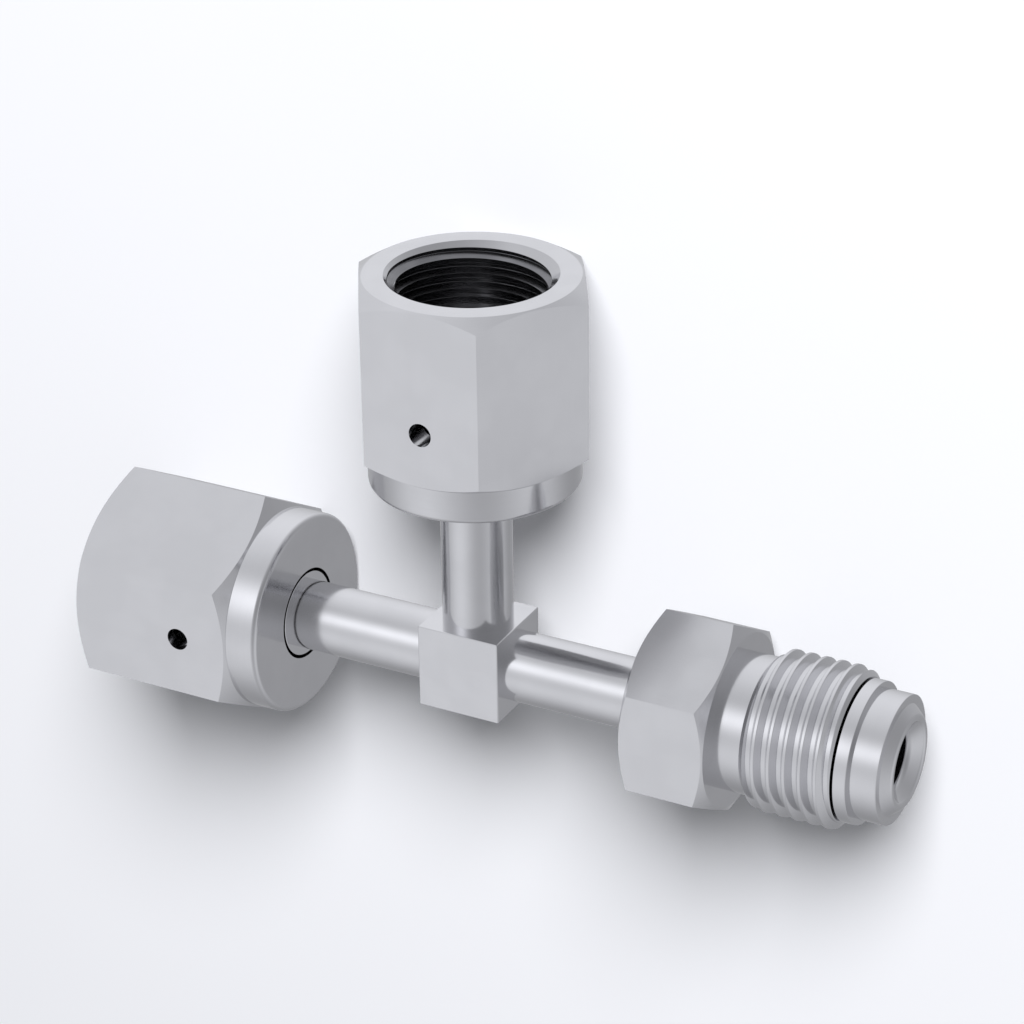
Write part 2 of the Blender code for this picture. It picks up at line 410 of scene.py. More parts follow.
def eased(outline: Sequence[Corner]) -> list[Corner]:
    """Round the corners of a closed outline that have an edge radius.

    Args:
        outline: The corners.

    Returns:
        The outline with an arc in place of each such corner.
    """
    points: list[Corner] = []
    for index, corner in enumerate(outline):
        if not corner.ease:
            points.append(corner)
            continue
        here = Vector((corner.radius, corner.height))
        before = outline[index - 1]
        after = outline[(index + 1) % len(outline)]
        back = (Vector((before.radius, before.height)) - here).normalized()
        onward = (Vector((after.radius, after.height)) - here).normalized()
        half = back.angle(onward) / 2
        centre = here + (back + onward).normalized() * corner.ease / sin(half)
        first = here + back * corner.ease / tan(half) - centre
        last = here + onward * corner.ease / tan(half) - centre
        sweep = first.angle_signed(last)
        for step in range(EASE_STEPS + 1):
            spoke = first.copy()
            spoke.rotate(Matrix.Rotation(-sweep * step / EASE_STEPS, 2))
            points.append(Corner(centre.x + spoke.x, centre.y + spoke.y, 0.0, corner.bored))
    return points


class Workpiece:
    """A piece in the making, in an arm's own millimetres."""

    def __init__(self, name: str, mesh: bpy.types.Mesh) -> None:
        """Put a mesh into the scene under a name."""
        self.item = bpy.data.objects.new(name, mesh)
        bpy.context.scene.collection.objects.link(self.item)

    @classmethod
    def from_work(cls, name: str, work: bmesh.types.BMesh, *steels: Steel) -> "Workpiece":
        """Make a piece from a bmesh, which is freed.

        Args:
            name: Name of the piece.
            work: The bmesh, whose faces count through the steels.
            steels: The finishes.

        Returns:
            The piece.
        """
        bmesh.ops.recalc_face_normals(work, faces=work.faces)
        mesh = bpy.data.meshes.new(name)
        work.to_mesh(mesh)
        work.free()
        for steel in steels:
            mesh.materials.append(steel.material())
        return cls(name, mesh)

    @classmethod
    def turned(cls, name: str, outline: Sequence[Corner], steel: Steel) -> "Workpiece":
        """Turn an outline about the Z axis.

        Args:
            name: Name of the piece.
            outline: Closed outline, which gives a ring, or one from axis to axis, which gives a solid.
            steel: Finish of all that isn't bored; bored faces take the steel darkened as painted shade.

        Returns:
            The piece.
        """
        work = bmesh.new()
        rings: list[list[bmesh.types.BMVert]] = []
        points = eased(outline)
        angles = [2 * pi * (step + 0.5) / ROUND_STEPS for step in range(ROUND_STEPS)]
        for point in points:
            spokes = angles if point.radius > 0 else angles[:1]
            rings.append([
                work.verts.new((point.radius * cos(angle), point.radius * sin(angle), point.height))
                for angle in spokes
            ])
        closed = points[0].radius > 0
        for index in range(len(points) if closed else len(points) - 1):
            near = rings[index]
            far = rings[(index + 1) % len(rings)]
            for step in range(ROUND_STEPS):
                turn = (step + 1) % ROUND_STEPS
                if len(near) == 1:
                    face = work.faces.new((near[0], far[step], far[turn]))
                elif len(far) == 1:
                    face = work.faces.new((near[step], far[0], near[turn]))
                else:
                    face = work.faces.new((near[step], far[step], far[turn], near[turn]))
                face.material_index = int(points[index].bored)
        # Bored faces take the second steel, which is darkened as painted shade
        return cls.from_work(name, work, steel, BORE_SHADE_STEEL)

    @classmethod
    def prism(
        cls, name: str, radius: float, bottom: float, top: float, sides: int, steel: Steel
    ) -> "Workpiece":
        """Make a prism about the Z axis, with a corner on the Y axis.

        Args:
            name: Name of the piece.
            radius: Radius of its corners.
            bottom: Lower end.
            top: Upper end.
            sides: Number of its sides.
            steel: Its finish.

        Returns:
            The piece.
        """
        work = bmesh.new()
        middle = Matrix.Translation(UP * (bottom + top) / 2)
        bmesh.ops.create_cone(
            work,
            cap_ends=True,
            segments=sides,
            radius1=radius,
            radius2=radius,
            depth=top - bottom,
            matrix=middle,
        )
        return cls.from_work(name, work, steel)

    @classmethod
    def cube(cls, name: str, side: float, edge: float, steel: Steel) -> "Workpiece":
        """Make a cube about the crossing, with rounded edges.

        Args:
            name: Name of the piece.
            side: Its side.
            edge: Radius of its edges.
            steel: Its finish.

        Returns:
            The piece.
        """
        work = bmesh.new()
        bmesh.ops.create_cube(work, size=side)
        bmesh.ops.bevel(
            work,
            geom=list(work.edges),
            offset=edge,
            offset_type="OFFSET",
            segments=3,
            profile=0.5,
            affect="EDGES",
        )
        return cls.from_work(name, work, steel)

    def turn_onto(self, direction: Vector) -> "Workpiece":
        """Turn the piece so that its Z axis points another way.

        Args:
            direction: Where the axis points.

        Returns:
            The piece itself.
        """
        self.item.data.transform(UP.rotation_difference(direction).to_matrix().to_4x4())
        return self

    def shift(self, height: float) -> "Workpiece":
        """Move the piece along its Z axis and give it back."""
        self.item.data.transform(Matrix.Translation(UP * height))
        return self

    def settle(self) -> None:
        """Turn the piece's modifiers into its own mesh."""
        evaluated = self.item.evaluated_get(bpy.context.evaluated_depsgraph_get())
        mesh = bpy.data.meshes.new_from_object(evaluated)
        self.item.modifiers.clear()
        self.item.data = mesh

    def combine(self, tool: "Workpiece", operation: str) -> "Workpiece":
        """Combine the piece with a tool, which is used up.

        Args:
            tool: The other piece.
            operation: UNION, DIFFERENCE or INTERSECT.

        Returns:
            The piece itself.
        """
        boolean = self.item.modifiers.new(operation.lower(), "BOOLEAN")
        boolean.operation = operation
        boolean.object = tool.item
        boolean.solver = "EXACT"
        boolean.material_mode = "TRANSFER"
        self.settle()
        bpy.data.objects.remove(tool.item, do_unlink=True)
        return self

    def ease(self, width: float, chosen: Callable[[bmesh.types.BMEdge], bool]) -> "Workpiece":
        """Round some of the piece's edges.

        Args:
            width: How far the rounding reaches from the edge.
            chosen: Tells whether an edge is rounded.

        Returns:
            The piece itself.
        """
        work = bmesh.new()
        work.from_mesh(self.item.data)
        edges = [edge for edge in work.edges if edge.is_manifold and chosen(edge)]
        bmesh.ops.bevel(
            work,
            geom=edges,
            offset=width,
            offset_type="OFFSET",
            segments=2,
            profile=0.5,
            affect="EDGES",
            clamp_overlap=False,
        )
        work.to_mesh(self.item.data)
        work.free()
        return self

    def place(self, arm: Arm, body: str, node: str, slot: Slot) -> bpy.types.Object:
        """Finish the piece, put it on its arm and let it stand for its solid.

        Args:
            arm: The arm on whose axis it was made.
            body: Body that it moves with.
            node: Solid that it stands for.
            slot: Material slot of the record; not used.

        Returns:
            The finished piece.
        """
        mesh = self.item.data
        work = bmesh.new()
        work.from_mesh(mesh)
        bmesh.ops.remove_doubles(work, verts=work.verts, dist=MERGE_DISTANCE)
        bmesh.ops.dissolve_degenerate(work, edges=work.edges, dist=MERGE_DISTANCE)
        work.to_mesh(mesh)
        work.free()
        places = mesh.attributes.new(PLACE, "FLOAT_VECTOR", "POINT")
        flat = [0.0] * (3 * len(mesh.vertices))
        mesh.vertices.foreach_get("co", flat)
        places.data.foreach_set("vector", flat)
        mesh.shade_smooth()
        mesh.set_sharp_from_angle(angle=radians(SHARP_ANGLE))
        even = self.item.modifiers.new("even_shading", "WEIGHTED_NORMAL")
        even.mode = "FACE_AREA"
        even.keep_sharp = True
        self.settle()
        self.item.data.transform(arm.placing())
        self.item.data.name = self.item.name
        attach(self.item, body)
        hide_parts(node)
        self.item.data.calc_loop_triangles()
        LOG.info("%s: %d triangles, rides on %s", self.item.name, len(self.item.data.loop_triangles), body)
        return self.item


@dataclass(frozen=True)
class ThreadRidge:
    """A right-hand helical ridge with sloping flanks, which is a thread's tooth or the tool for its groove.

    Attributes:
        tip_radius: Radius of its tip.
        foot_radius: Radius of its foot, which lies inside what it joins.
        tip_width: Width of its flat tip.
        tip_edge: Radius of the tip's edges.
        first_tip: Height of the middle of the tip where the ridge starts, on the X axis.
        turns: Number of turns.
    """

    TREE_NAME: ClassVar[str] = "helical_ridge"
    SIZES: ClassVar[tuple[str, ...]] = (
        "Pitch", "Turns", "Steps per Turn", "First Tip", "Tip Radius", "Foot Radius", "Tip Width",
        "Foot Width", "Tip Edge",
    )

    tip_radius: float
    foot_radius: float
    tip_width: float
    tip_edge: float
    first_tip: float
    turns: int

    @classmethod
    def tree(cls) -> bpy.types.NodeTree:
        """Build the geometry tree that lays a trapezoid's outline along a helix, closed at both ends.

        Returns:
            The tree, with the ridge's sizes and its material as inputs.
        """
        if cls.TREE_NAME in bpy.data.node_groups:
            return bpy.data.node_groups[cls.TREE_NAME]
        inputs = {"Geometry": "NodeSocketGeometry"}
        inputs |= {size: "NodeSocketFloat" for size in cls.SIZES}
        inputs |= {"Material": "NodeSocketMaterial"}
        tree = group_tree(cls.TREE_NAME, "GeometryNodeTree", inputs, {"Geometry": "NodeSocketGeometry"})
        size = tree.add("NodeGroupInput").outputs

        # The section, with its tip above and its foot below the middle
        depth = tree.math("SUBTRACT", size["Tip Radius"], size["Foot Radius"])
        section = tree.add(
            "GeometryNodeCurvePrimitiveQuadrilateral",
            {
                "Height": depth,
                "Bottom Width": size["Foot Width"],
                "Top Width": size["Tip Width"],
                "Offset": 0.0,
            },
            mode="TRAPEZOID",
        )
        position = tree.add("GeometryNodeInputPosition").outputs[0]
        height = tree.add("ShaderNodeSeparateXYZ", {0: position}).outputs[1]
        at_tip = tree.math("GREATER_THAN", height, 0.0)
        rounded = tree.add(
            "GeometryNodeFilletCurve",
            {
                "Curve": section.outputs[0],
                "Count": EASE_STEPS,
                "Radius": tree.math("MULTIPLY", at_tip, size["Tip Edge"]),
                "Limit Radius": True,
            },
            mode="POLY",
        )
        outline = tree.add("GeometryNodeCurveToMesh", {"Curve": rounded.outputs[0]}).outputs[0]
        domain = tree.add("GeometryNodeAttributeDomainSize", {0: outline}, component="MESH")
        count = domain.outputs["Point Count"]

        # A sheet with a column for each point of the section, which comes back to the first one
        columns = tree.math("ADD", count, 1.0)
        last_row = tree.math("MULTIPLY", size["Turns"], size["Steps per Turn"])
        rows = tree.math("ADD", last_row, 1.0)
        sheet = tree.add("GeometryNodeMeshGrid", {"Vertices X": rows, "Vertices Y": columns}).outputs["Mesh"]
        index = tree.add("GeometryNodeInputIndex").outputs[0]
        row = tree.math("FLOOR", tree.math("DIVIDE", tree.math("ADD", index, 0.5), columns))
        column = tree.math("SUBTRACT", index, tree.math("MULTIPLY", row, columns))
        column = tree.math("FLOORED_MODULO", tree.math("ROUND", column), count)
        sample = tree.add(
            "GeometryNodeSampleIndex", {"Geometry": outline}, data_type="FLOAT_VECTOR", domain="POINT"
        )
        tree.tree.links.new(position, sample.inputs["Value"])
        tree.tree.links.new(column, sample.inputs["Index"])
        across = tree.add("ShaderNodeSeparateXYZ", {0: sample.outputs[0]}).outputs

        # The first and the last row shrink to a point, which closes the ridge
        from_end = tree.math("MINIMUM", row, tree.math("SUBTRACT", last_row, row))
        fullness = tree.math("MINIMUM", from_end, 1.0)
        rise = tree.math("ADD", across[1], tree.math("MULTIPLY", depth, 0.5))
        radius = tree.math("ADD", size["Foot Radius"], tree.math("MULTIPLY", rise, fullness))
        turn = tree.math("DIVIDE", row, size["Steps per Turn"])
        climb = tree.math("ADD", size["First Tip"], tree.math("MULTIPLY", turn, size["Pitch"]))
        level = tree.math("ADD", climb, tree.math("MULTIPLY", across[0], fullness))
        angle = tree.math("MULTIPLY", turn, 2 * pi)
        place = tree.add(
            "ShaderNodeCombineXYZ",
            {
                0: tree.math("MULTIPLY", radius, tree.math("COSINE", angle)),
                1: tree.math("MULTIPLY", radius, tree.math("SINE", angle)),
                2: level,
            },
        )
        laid = tree.add("GeometryNodeSetPosition", {"Geometry": sheet, "Position": place.outputs[0]})
        near = {"Geometry": laid.outputs[0], "Distance": MERGE_DISTANCE}
        merged = tree.add("GeometryNodeMergeByDistance", near)
        real = tree.add("GeometryNodeRealizeInstances", {"Geometry": merged.outputs[0]})
        finish = {"Geometry": real.outputs[0], "Material": size["Material"]}
        dressed = tree.add("GeometryNodeSetMaterial", finish)
        tree.add("NodeGroupOutput", {"Geometry": dressed.outputs[0]})
        return tree.tree

    def make(self, name: str, steel: Steel) -> Workpiece:
        """Make the ridge.

        Args:
            name: Name of the piece.
            steel: Its finish.

        Returns:
            The ridge as a closed solid.
        """
        tree = self.tree()
        piece = Workpiece(name, bpy.data.meshes.new(name))
        slope = tan(radians(FLANK_ANGLE))
        values = {
            "Pitch": PITCH,
            "Turns": float(self.turns),
            "Steps per Turn": float(ROUND_STEPS),
            "First Tip": self.first_tip,
            "Tip Radius": self.tip_radius,
            "Foot Radius": self.foot_radius,
            "Tip Width": self.tip_width,
            "Foot Width": self.tip_width + 2 * (self.tip_radius - self.foot_radius) * slope,
            "Tip Edge": self.tip_edge,
            "Material": steel.material(),
        }
        modifier = piece.item.modifiers.new("ridge", "NODES")
        modifier.node_group = tree
        for socket in tree.interface.items_tree:
            if socket.in_out == "INPUT" and socket.name in values:
                modifier[socket.identifier] = values[socket.name]
        piece.settle()
        work = bmesh.new()
        work.from_mesh(piece.item.data)
        bmesh.ops.recalc_face_normals(work, faces=work.faces)
        work.to_mesh(piece.item.data)
        work.free()
        return piece


def is_hexagon_edge(edge: bmesh.types.BMEdge) -> bool:
    """Tell whether a flat of a trimmed hexagon meets another face at this edge."""
    slots = {face.material_index for face in edge.link_faces}
    return edge.calc_face_angle() > radians(HEX_EDGE_ANGLE) and 1 in slots


@dataclass(frozen=True)
class TeeBody:
    """The block with its three arms.

    Attributes:
        side: Side of the block.
        edge: Radius of the block's edges.
        run_left: Length of the left arm of the run, from the crossing.
        run_right: Length of the right arm of the run.
        branch: Length of the branch arm.
    """

    side: float = 7.94
    edge: float = 0.14
    run_left: float = 17.78
    run_right: float = 17.55
    branch: float = 17.78

    def rod(self, name: str, radius: float, bottom: float, top: float, steel: Steel) -> Workpiece:
        """Make a solid rod about the Z axis.

        Args:
            name: Name of the rod.
            radius: Its radius.
            bottom: Lower end.
            top: Upper end.
            steel: Its finish.

        Returns:
            The rod.
        """
        outline = [Corner(0, bottom), Corner(radius, bottom), Corner(radius, top), Corner(0, top)]
        return Workpiece.turned(name, outline, steel)

    def build(self) -> bpy.types.Object:
        """Build the block and the arms, bored through along the run and from the branch.

        Returns:
            The finished piece.
        """
        aside = Vector((0, -1, 0))
        steel = POLISHED_BODY
        body = Workpiece.cube("tee_block_and_arms", self.side, self.edge, steel)
        body.combine(self.rod("run_arms", TUBE_RADIUS, -self.run_left, self.run_right, steel), "UNION")
        body.combine(self.rod("branch_arm", TUBE_RADIUS, 0, self.branch, steel).turn_onto(aside), "UNION")
        ends = (-self.run_left - CUT_MARGIN, self.run_right + CUT_MARGIN)
        # The bores' walls take the steel darkened as painted shade
        body.combine(self.rod("run_bore", BORE_RADIUS, *ends, BORE_SHADE_STEEL), "DIFFERENCE")
        branch_bore = self.rod("branch_bore", BORE_RADIUS, 0, self.branch + CUT_MARGIN, BORE_SHADE_STEEL)
        body.combine(branch_bore.turn_onto(aside), "DIFFERENCE")
        return body.place(Arm.RUN_RIGHT, "welded_tee", "tee_body", Slot.BODY)


@dataclass(frozen=True)
class Gland:
    """A hub on the end of its arm, with a flange that holds the nut, a land and a sealing bead.

    Attributes:
        arm: Arm that it is welded to.
        node: Solid that it stands for.
        rear: Where the hub starts.
        flange_back: Where the flange starts.
    """

    BEAD_OUTER_SLOPE: ClassVar[float] = 45
    BEAD_INNER_SLOPE: ClassVar[float] = 36
    BEAD_CREST: ClassVar[float] = 3.85
    BEAD_HEIGHT: ClassVar[float] = 0.83
    BEAD_ROUND: ClassVar[float] = 0.54
    BEAD_STEPS: ClassVar[int] = 12
    MOUTH_ROUND: ClassVar[float] = 0.75
    LAND_RADIUS: ClassVar[float] = 5.68
    LAND_LENGTH: ClassVar[float] = 2.50
    FLANGE_RADIUS: ClassVar[float] = 6.25
    FLANGE_LENGTH: ClassVar[float] = 1.15
    FLANGE_EDGE: ClassVar[float] = 0.05

    arm: Arm
    node: str
    rear: float
    flange_back: float

    def build(self) -> bpy.types.Object:
        """Build the gland.

        Returns:
            The finished piece.
        """
        flange_front = self.flange_back + self.FLANGE_LENGTH
        face = flange_front + self.LAND_LENGTH
        centre = face + self.BEAD_HEIGHT - self.BEAD_ROUND
        ends = (180 - self.BEAD_INNER_SLOPE, self.BEAD_OUTER_SLOPE)
        bead = arc(self.BEAD_CREST, centre, self.BEAD_ROUND, *ends, self.BEAD_STEPS)
        foot = bead[-1].radius + (bead[-1].height - face) / tan(radians(self.BEAD_OUTER_SLOPE))
        mouth = bead[0].height - (bead[0].radius - BORE_RADIUS) * tan(radians(self.BEAD_INNER_SLOPE))
        outline = [
            *bead,
            Corner(foot, face),
            Corner(self.LAND_RADIUS, face, TURNED_EDGE),
            Corner(self.LAND_RADIUS, flange_front),
            Corner(self.FLANGE_RADIUS, flange_front, TURNED_EDGE),
            Corner(self.FLANGE_RADIUS, self.flange_back, self.FLANGE_EDGE),
            Corner(HUB_RADIUS, self.flange_back),
            Corner(HUB_RADIUS, self.rear, TURNED_EDGE),
            Corner(BORE_RADIUS, self.rear, bored=True),
            Corner(BORE_RADIUS, mouth, self.MOUTH_ROUND),
        ]
        gland = Workpiece.turned(self.node + "_turned", outline, POLISHED_GLAND)
        return gland.place(self.arm, "welded_tee", self.node, Slot.GLAND)


@dataclass(frozen=True)
class FemaleNut:
    """A hexagon nut with a round collar, an internal thread and a hole for leak testing.

    Attributes:
        arm: Arm that it turns on.
        node: Solid and body that it stands for.
    """

    REAR: ClassVar[float] = 17.78
    LENGTH: ClassVar[float] = 19.05
    FLAT: ClassVar[float] = 9.5237
    COLLAR_STEP: ClassVar[float] = 0.225
    COLLAR_LENGTH: ClassVar[float] = 3.02
    COLLAR_EDGE: ClassVar[float] = 0.50
    SHOULDER: ClassVar[float] = 21.63
    ENTRY_STEP: ClassVar[float] = 0.97
    RELIEF_RADIUS: ClassVar[float] = 7.3
    RELIEF_START: ClassVar[float] = 24.43
    RELIEF_END: ClassVar[float] = 26.83
    TEST_HOLE_HEIGHT: ClassVar[float] = 25.78
    TEST_HOLE_RADIUS: ClassVar[float] = 1.05
    THREAD_ROOT: ClassVar[float] = 7.17
    THREAD_ROOT_WIDTH: ClassVar[float] = 0.30
    FIRST_GROOVE: ClassVar[float] = 25.38
    TURNS: ClassVar[int] = 9

    arm: Arm
    node: str

    def blank(self) -> Workpiece:
        """Turn the outside and trim it to a hexagon.

        Returns:
            The solid blank.
        """
        end = self.REAR + self.LENGTH
        corner = self.FLAT * 2 / sqrt(3)
        outside = corner + CUT_MARGIN
        slope = tan(radians(HEX_CHAMFER_ANGLE))
        face = self.FLAT - HEX_FACE_STEP
        collar = self.FLAT - self.COLLAR_STEP
        collar_end = self.REAR + self.COLLAR_LENGTH
        outline = [
            Corner(0, end),
            Corner(face, end, TURNED_EDGE),
            Corner(outside, end - (outside - face) * slope),
            Corner(outside, collar_end + (outside - collar) * slope),
            Corner(collar, collar_end, TURNED_EDGE),
            Corner(collar, self.REAR, self.COLLAR_EDGE),
            Corner(0, self.REAR),
        ]
        nut = Workpiece.turned(self.node + "_finished", outline, TURNED_NUT)
        margins = (self.REAR - CUT_MARGIN, end + CUT_MARGIN)
        nut.combine(Workpiece.prism("hexagon", corner, *margins, 6, DRAWN_FLATS), "INTERSECT")
        return nut

    def tap(self) -> Workpiece:
        """Make the shape of the bore: hub hole, chamber, relief, thread and countersink.

        Returns:
            The tool that cuts the bore.
        """
        end = self.REAR + self.LENGTH
        relief_depth = self.RELIEF_RADIUS - CHAMBER_RADIUS
        outline = [
            Corner(0, end + CUT_MARGIN),
            Corner(CHAMBER_RADIUS + self.ENTRY_STEP + CUT_MARGIN, end + CUT_MARGIN),
            Corner(CHAMBER_RADIUS, end - self.ENTRY_STEP, bored=True),
            Corner(CHAMBER_RADIUS, self.RELIEF_END + relief_depth, bored=True),
            Corner(self.RELIEF_RADIUS, self.RELIEF_END, bored=True),
            Corner(self.RELIEF_RADIUS, self.RELIEF_START, bored=True),
            Corner(CHAMBER_RADIUS, self.RELIEF_START, bored=True),
            Corner(CHAMBER_RADIUS, self.SHOULDER, bored=True),
            Corner(NUT_BORE_RADIUS, self.SHOULDER, bored=True),
            Corner(NUT_BORE_RADIUS, self.REAR - CUT_MARGIN, bored=True),
            Corner(0, self.REAR - CUT_MARGIN),
        ]
        tool = Workpiece.turned("tap", outline, TURNED_NUT)
        groove = ThreadRidge(
            tip_radius=self.THREAD_ROOT,
            foot_radius=CHAMBER_RADIUS - THREAD_SINK,
            tip_width=self.THREAD_ROOT_WIDTH,
            tip_edge=THREAD_EDGE,
            first_tip=self.FIRST_GROOVE,
            turns=self.TURNS,
        )
        # The thread's groove is cut in the steel darkened as painted shade
        return tool.combine(groove.make("tap_ridge", BORE_SHADE_STEEL), "UNION")

    def build(self) -> bpy.types.Object:
        """Build the nut.

        Returns:
            The finished piece.
        """
        nut = self.blank()
        nut.ease(HEX_EDGE, is_hexagon_edge)
        nut.combine(self.tap(), "DIFFERENCE")
        outline = [
            Corner(0, 0),
            Corner(self.TEST_HOLE_RADIUS, 0),
            Corner(self.TEST_HOLE_RADIUS, self.FLAT + CUT_MARGIN),
            Corner(0, self.FLAT + CUT_MARGIN),
        ]
        drill = Workpiece.turned("test_hole", outline, TURNED_NUT).turn_onto(Vector((1, 0, 0)))
        nut.combine(drill.shift(self.TEST_HOLE_HEIGHT), "DIFFERENCE")
        return nut.place(self.arm, self.node, self.node, Slot.NUT)


@dataclass(frozen=True)
class MaleNut:
    """A hexagon nut with a smooth neck and an external thread.

    Attributes:
        arm: Arm that it turns on.
        node: Solid and body that it stands for.
    """

    REAR: ClassVar[float] = 17.55
    HEX_LENGTH: ClassVar[float] = 7.90
    FLAT: ClassVar[float] = 7.9337
    NECK_RADIUS: ClassVar[float] = 6.1
    NECK_END: ClassVar[float] = 28.0
    RAMP_LENGTH: ClassVar[float] = 0.85
    END: ClassVar[float] = 36.35
    END_CHAMFER: ClassVar[float] = 0.75
    THREAD_ROOT: ClassVar[float] = 6.4
    THREAD_CREST: ClassVar[float] = 7.0937
    CREST_WIDTH: ClassVar[float] = 0.26
    END_EDGE: ClassVar[float] = 0.04
    LAST_GROOVE: ClassVar[float] = 0.36
    TURNS: ClassVar[int] = 8
    OVERLAP: ClassVar[float] = 0.1
    THREAD_BACKSET: ClassVar[float] = 0.4
    ENVELOPE_MARGIN: ClassVar[float] = 0.05

    arm: Arm
    node: str

    def hexagon(self) -> Workpiece:
        """Turn the outside behind the thread and trim it to a hexagon.

        Returns:
            The solid hexagon with its neck.
        """
        corner = self.FLAT * 2 / sqrt(3)
        outside = corner + CUT_MARGIN
        slope = tan(radians(HEX_CHAMFER_ANGLE))
        face = self.FLAT - HEX_FACE_STEP
        front = self.REAR + self.HEX_LENGTH
        outline = [
            Corner(0, self.NECK_END + self.OVERLAP),
            Corner(self.NECK_RADIUS, self.NECK_END + self.OVERLAP),
            Corner(self.NECK_RADIUS, front),
            Corner(face, front, TURNED_EDGE),
            Corner(outside, front - (outside - face) * slope),
            Corner(outside, self.REAR + (outside - face) * slope),
            Corner(face, self.REAR, TURNED_EDGE),
            Corner(0, self.REAR),
        ]
        nut = Workpiece.turned(self.node + "_finished", outline, TURNED_NUT)
        margins = (self.REAR - CUT_MARGIN, self.END)
        nut.combine(Workpiece.prism("hexagon", corner, *margins, 6, DRAWN_FLATS), "INTERSECT")
        return nut.ease(HEX_EDGE, is_hexagon_edge)

    def thread(self) -> Workpiece:
        """Make the threaded end, which starts inside the neck.

        Returns:
            The solid threaded end.
        """
        start = self.NECK_END - self.THREAD_BACKSET
        slope = self.RAMP_LENGTH / (self.THREAD_CREST - self.NECK_RADIUS)
        inside = self.NECK_RADIUS - THREAD_SINK
        core = [
            Corner(0, start - CUT_MARGIN),
            Corner(self.THREAD_ROOT, start - CUT_MARGIN),
            Corner(self.THREAD_ROOT, self.END + CUT_MARGIN),
            Corner(0, self.END + CUT_MARGIN),
        ]
        outside = self.THREAD_CREST + self.ENVELOPE_MARGIN
        envelope = [
            Corner(0, start),
            Corner(inside, start),
            Corner(inside, self.NECK_END + (inside - self.NECK_RADIUS) * slope),
            Corner(outside, self.NECK_END + (outside - self.NECK_RADIUS) * slope),
            Corner(outside, self.END - self.END_CHAMFER + self.ENVELOPE_MARGIN),
            Corner(self.THREAD_CREST - self.END_CHAMFER, self.END, self.END_EDGE),
            Corner(0, self.END),
        ]
        tooth = ThreadRidge(
            tip_radius=self.THREAD_CREST,
            foot_radius=self.THREAD_ROOT - THREAD_SINK,
            tip_width=self.CREST_WIDTH,
            tip_edge=THREAD_EDGE,
            first_tip=self.END - self.LAST_GROOVE - (self.TURNS - 1.5) * PITCH,
            turns=self.TURNS,
        )
        end = Workpiece.turned("threaded_end", core, TURNED_NUT)
        end.combine(tooth.make("tooth", TURNED_NUT), "UNION")
        return end.combine(Workpiece.turned("envelope", envelope, TURNED_NUT), "INTERSECT")

    def build(self) -> bpy.types.Object:
        """Build the nut.

        Returns:
            The finished piece.
        """
        nut = self.hexagon()
        nut.combine(self.thread(), "UNION")
        bore = [
            Corner(0, self.REAR - CUT_MARGIN),
            Corner(NUT_BORE_RADIUS, self.REAR - CUT_MARGIN),
            Corner(NUT_BORE_RADIUS, self.END + CUT_MARGIN),
            Corner(0, self.END + CUT_MARGIN),
        ]
        # The hub hole's wall takes the steel darkened as painted shade
        nut.combine(Workpiece.turned("hub_hole", bore, BORE_SHADE_STEEL), "DIFFERENCE")
        return nut.place(self.arm, self.node, self.node, Slot.NUT)


@dataclass(frozen=True)
class SoftBox:
    """A soft round light of the sky, hung where the camera sees it mirrored in one kind of face.

    Attributes:
        face: Way that those faces look, of any length.
        sharpness: How narrow the light is.
        strength: What it adds to the sky's brightness.
    """

    face: tuple[float, float, float]
    sharpness: float
    strength: float

    def direction(self, view: Vector) -> Vector:
        """Find where the light hangs.

        Args:
            view: Unit vector from the tee towards the camera.

        Returns:
            The unit vector from the tee towards the light.
        """
        return -view.reflect(Vector(self.face).normalized())

    def add_to(self, tree: Tree, place: bpy.types.NodeSocket, view: Vector) -> bpy.types.NodeSocket:
        """Add the light to a sky's tree.

        Args:
            tree: The sky's tree.
            place: Socket of the direction that is looked in.
            view: Unit vector from the tee towards the camera.

        Returns:
            The socket of the light's brightness.
        """
        inputs = {0: place, 1: self.direction(view)}
        towards = tree.add("ShaderNodeVectorMath", inputs, operation="DOT_PRODUCT")
        away = tree.math("SUBTRACT", towards.outputs["Value"], 1.0)
        share = tree.math("EXPONENT", tree.math("MULTIPLY", away, self.sharpness))
        return tree.math("MULTIPLY", share, self.strength)


